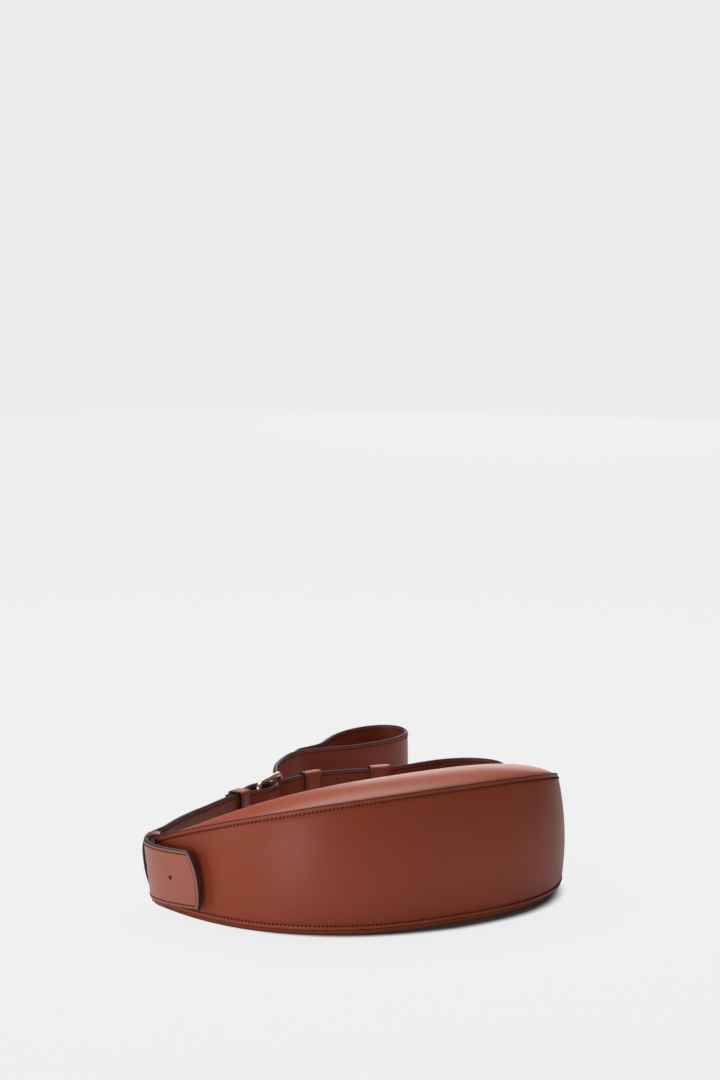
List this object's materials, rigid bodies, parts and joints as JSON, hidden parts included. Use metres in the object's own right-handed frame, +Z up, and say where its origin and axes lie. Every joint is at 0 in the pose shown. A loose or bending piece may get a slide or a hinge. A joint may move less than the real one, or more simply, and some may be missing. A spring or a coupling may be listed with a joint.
{
  "type": "crossbody bag",
  "caption": "Half-moon leather crossbody bag lying on its back panel, with a zip mouth, corner loops, a wide folded strap with keepers and a brass ring.",
  "frame": {"origin": "middle of the flat face of the back panel that the bag rests on, half way along the mouth and half way from mouth to bottom", "axes": "+X along the mouth towards the strap's long side, +Y out of the mouth, +Z up through the front panel"},
  "size_m": [0.3239, 0.3439, 0.0825],
  "materials": {
    "panel_leather": "smooth satin cognac leather",
    "gusset_leather": "smooth satin cognac leather",
    "strap_leather": "smooth satin cognac leather with dark painted edges",
    "tab_leather": "smooth satin cognac leather with dark painted edges",
    "lining": "matt suede-like lining",
    "zip_tape": "woven tape",
    "brass": "polished pale gold plating"
  },
  "bodies": {
    "root": {"front_panel": "panel_leather", "back_panel": "panel_leather", "gusset": "gusset_leather", "front_lining": "lining", "back_lining": "lining", "gusset_lining": "lining", "front_facing": "panel_leather", "back_facing": "panel_leather", "front_zip_tape": "zip_tape", "back_zip_tape": "zip_tape", "front_zip_teeth": "brass", "back_zip_teeth": "brass", "zip_stops": "brass", "left_loop": "strap_leather", "right_loop": "strap_leather", "left_rivet": "brass", "right_rivet": "brass", "left_strap_end": "strap_leather", "right_strap_end": "strap_leather"},
    "left_tab": {"left_tab": "tab_leather"},
    "right_tab": {"right_tab": "tab_leather"},
    "strap": {"left_strap": "strap_leather", "right_strap": "strap_leather", "keeper_one": "strap_leather", "keeper_two": "strap_leather"},
    "small_keeper": {"small_keeper": "strap_leather"},
    "strap_ring": {"strap_ring": "brass"},
    "zip_slider": {"zip_slider": "brass"},
    "zip_puller": {"pull_link": "brass", "zip_pull": "strap_leather"}
  },
  "joints": [
    {"name": "strap_swing", "type": "hinge", "parent": "root", "child": "strap", "pos_m": [0, 0.08101, 0.025], "axis": [1, 0, 0], "range_deg": [0, 90]},
    {"name": "left_tab_lift", "type": "hinge", "parent": "root", "child": "left_tab", "pos_m": [-0.13155, 0.04823, 0.02639], "axis": [0, -0.0424, -0.9991], "range_deg": [0, 55]},
    {"name": "right_tab_lift", "type": "hinge", "parent": "root", "child": "right_tab", "pos_m": [0.13155, 0.04823, 0.02639], "axis": [0, 0.0424, 0.9991], "range_deg": [0, 55]},
    {"name": "small_keeper_slide", "type": "slide", "parent": "strap", "child": "small_keeper", "axis": [0.9135, 0.4064, -0.0172], "range_m": [-0.01, 0]},
    {"name": "ring_swing", "type": "hinge", "parent": "strap", "child": "strap_ring", "pos_m": [0.00366, 0.14427, 0.02232], "axis": [0, 0.0424, 0.9991], "range_deg": [-1.5, 1.5]},
    {"name": "zip_slide", "type": "slide", "parent": "root", "child": "zip_slider", "axis": [1, 0, 0], "range_m": [0, 0.16]},
    {"name": "puller_swing", "type": "hinge", "parent": "zip_slider", "child": "zip_puller", "pos_m": [-0.0895, 0.06325, 0.022], "axis": [0, 0, 1], "range_deg": [0, 60]}
  ]
}
